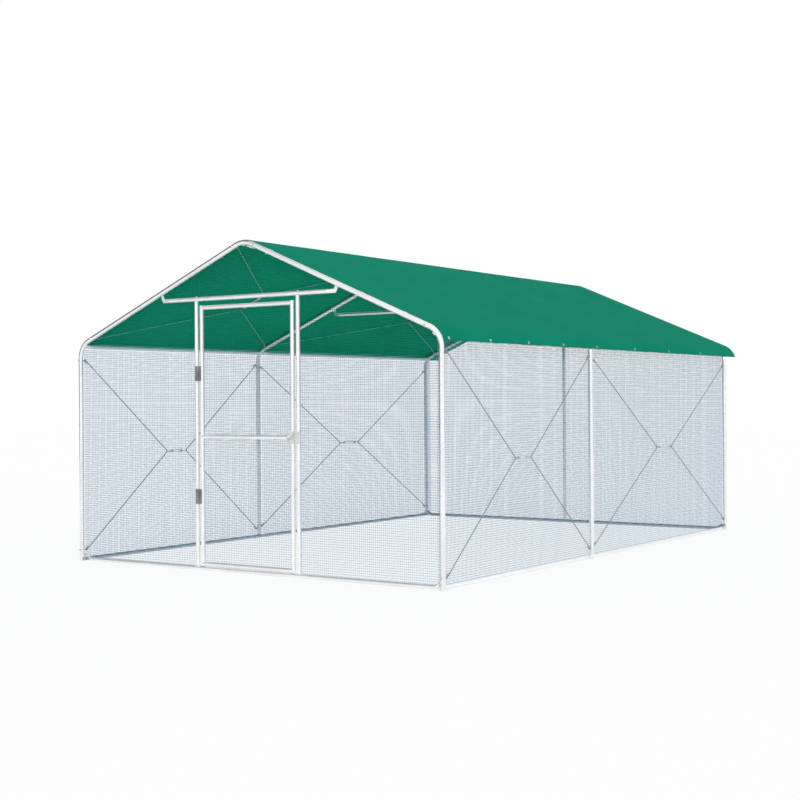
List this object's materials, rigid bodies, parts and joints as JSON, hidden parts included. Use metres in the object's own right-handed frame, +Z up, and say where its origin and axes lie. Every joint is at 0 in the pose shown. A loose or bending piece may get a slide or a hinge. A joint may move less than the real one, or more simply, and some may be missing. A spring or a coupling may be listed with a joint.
{
  "type": "poultry shed",
  "caption": "Walk-in gable-roofed poultry shed: bent tube frame, wire-mesh walls, hinged mesh door with a slide latch, wire braces with turnbuckles and a fabric roof cover.",
  "frame": {"origin": "centre of the overall box at ground level", "axes": "+X to the right seen from the door, +Y from the door towards the rear gable, +Z up"},
  "size_m": [2.7486, 4.2226, 1.9451],
  "materials": {
    "galvanised_tube": "bright zinc-coated steel tube",
    "wire_mesh": "fine galvanised wire mesh",
    "bracing_steel": "dull zinc-plated hardware",
    "brace_wire": "dark grey drawn wire",
    "door_hardware": "grey satin",
    "cover_sheet": "green woven coated sheet",
    "eyelet_metal": "bright pressed metal"
  },
  "bodies": {
    "frame": {"front_left_leg": "galvanised_tube", "front_right_leg": "galvanised_tube", "middle_left_leg": "galvanised_tube", "middle_right_leg": "galvanised_tube", "rear_left_leg": "galvanised_tube", "rear_right_leg": "galvanised_tube", "front_apex_bend": "galvanised_tube", "middle_apex_bend": "galvanised_tube", "rear_apex_bend": "galvanised_tube", "front_header_bar": "galvanised_tube", "middle_tie_bar": "galvanised_tube", "rear_tie_bar": "galvanised_tube", "front_ridge_tube": "galvanised_tube", "rear_ridge_tube": "galvanised_tube", "left_front_eave_tube": "galvanised_tube", "left_rear_eave_tube": "galvanised_tube", "left_front_ground_rail": "galvanised_tube", "left_rear_ground_rail": "galvanised_tube", "right_front_eave_tube": "galvanised_tube", "right_rear_eave_tube": "galvanised_tube", "right_front_ground_rail": "galvanised_tube", "right_rear_ground_rail": "galvanised_tube", "front_ground_rail": "galvanised_tube", "rear_ground_rail": "galvanised_tube", "left_door_jamb": "galvanised_tube", "right_door_jamb": "galvanised_tube", "rear_centre_post": "galvanised_tube", "left_front_net": "wire_mesh", "left_rear_net": "wire_mesh", "right_front_net": "wire_mesh", "right_rear_net": "wire_mesh", "front_left_net": "wire_mesh", "front_right_net": "wire_mesh", "front_gable_net": "wire_mesh", "rear_net": "wire_mesh", "brace_eye_bolts": "bracing_steel", "frame_fasteners": "bracing_steel", "brace_wires": "brace_wire", "jamb_hinge_leaves": "door_hardware", "hinge_pins": "door_hardware", "latch_keeper": "door_hardware", "roof_cover": "cover_sheet", "cover_eyelets": "eyelet_metal"},
    "door": {"door_left_stile": "galvanised_tube", "door_right_stile": "galvanised_tube", "door_top_rail": "galvanised_tube", "door_middle_rail": "galvanised_tube", "door_bottom_rail": "galvanised_tube", "door_net": "wire_mesh", "door_hinge_leaves": "door_hardware", "latch_carrier": "door_hardware"},
    "latch_bolt": {"latch_bolt": "door_hardware"},
    "left_front_wall_turnbuckle": {"left_front_wall_turnbuckle": "bracing_steel"},
    "left_front_roof_turnbuckle": {"left_front_roof_turnbuckle": "bracing_steel"},
    "left_rear_wall_turnbuckle": {"left_rear_wall_turnbuckle": "bracing_steel"},
    "left_rear_roof_turnbuckle": {"left_rear_roof_turnbuckle": "bracing_steel"},
    "right_front_wall_turnbuckle": {"right_front_wall_turnbuckle": "bracing_steel"},
    "right_front_roof_turnbuckle": {"right_front_roof_turnbuckle": "bracing_steel"},
    "right_rear_wall_turnbuckle": {"right_rear_wall_turnbuckle": "bracing_steel"},
    "right_rear_roof_turnbuckle": {"right_rear_roof_turnbuckle": "bracing_steel"}
  },
  "joints": [
    {"name": "door_swing", "type": "hinge", "parent": "frame", "child": "door", "pos_m": [-0.3645, -2.08363, 0.807], "axis": [0, 0, -1], "range_deg": [0, 165]},
    {"name": "latch_slide", "type": "slide", "parent": "door", "child": "latch_bolt", "axis": [1, 0, 0], "range_m": [0, 0.022]},
    {"name": "left_front_wall_turn", "type": "hinge", "parent": "frame", "child": "left_front_wall_turnbuckle", "pos_m": [-1.36, -1.21368, 0.67], "axis": [0, 1, 0], "range_deg": [-180, 180]},
    {"name": "left_front_roof_turn", "type": "hinge", "parent": "frame", "child": "left_front_roof_turnbuckle", "pos_m": [-0.6731, -1.21368, 1.65657], "axis": [0.9205, 0, 0.3907], "range_deg": [-180, 180]},
    {"name": "left_rear_wall_turn", "type": "hinge", "parent": "frame", "child": "left_rear_wall_turnbuckle", "pos_m": [-1.36, 0.78282, 0.67], "axis": [0, 1, 0], "range_deg": [-180, 180]},
    {"name": "left_rear_roof_turn", "type": "hinge", "parent": "frame", "child": "left_rear_roof_turnbuckle", "pos_m": [-0.6731, 0.78282, 1.65657], "axis": [0.9205, 0, 0.3907], "range_deg": [-180, 180]},
    {"name": "right_front_wall_turn", "type": "hinge", "parent": "frame", "child": "right_front_wall_turnbuckle", "pos_m": [1.36, -1.21368, 0.67], "axis": [0, 1, 0], "range_deg": [-180, 180]},
    {"name": "right_front_roof_turn", "type": "hinge", "parent": "frame", "child": "right_front_roof_turnbuckle", "pos_m": [0.6731, -1.21368, 1.65657], "axis": [-0.9205, 0, 0.3907], "range_deg": [-180, 180]},
    {"name": "right_rear_wall_turn", "type": "hinge", "parent": "frame", "child": "right_rear_wall_turnbuckle", "pos_m": [1.36, 0.78282, 0.67], "axis": [0, 1, 0], "range_deg": [-180, 180]},
    {"name": "right_rear_roof_turn", "type": "hinge", "parent": "frame", "child": "right_rear_roof_turnbuckle", "pos_m": [0.6731, 0.78282, 1.65657], "axis": [-0.9205, 0, 0.3907], "range_deg": [-180, 180]}
  ]
}
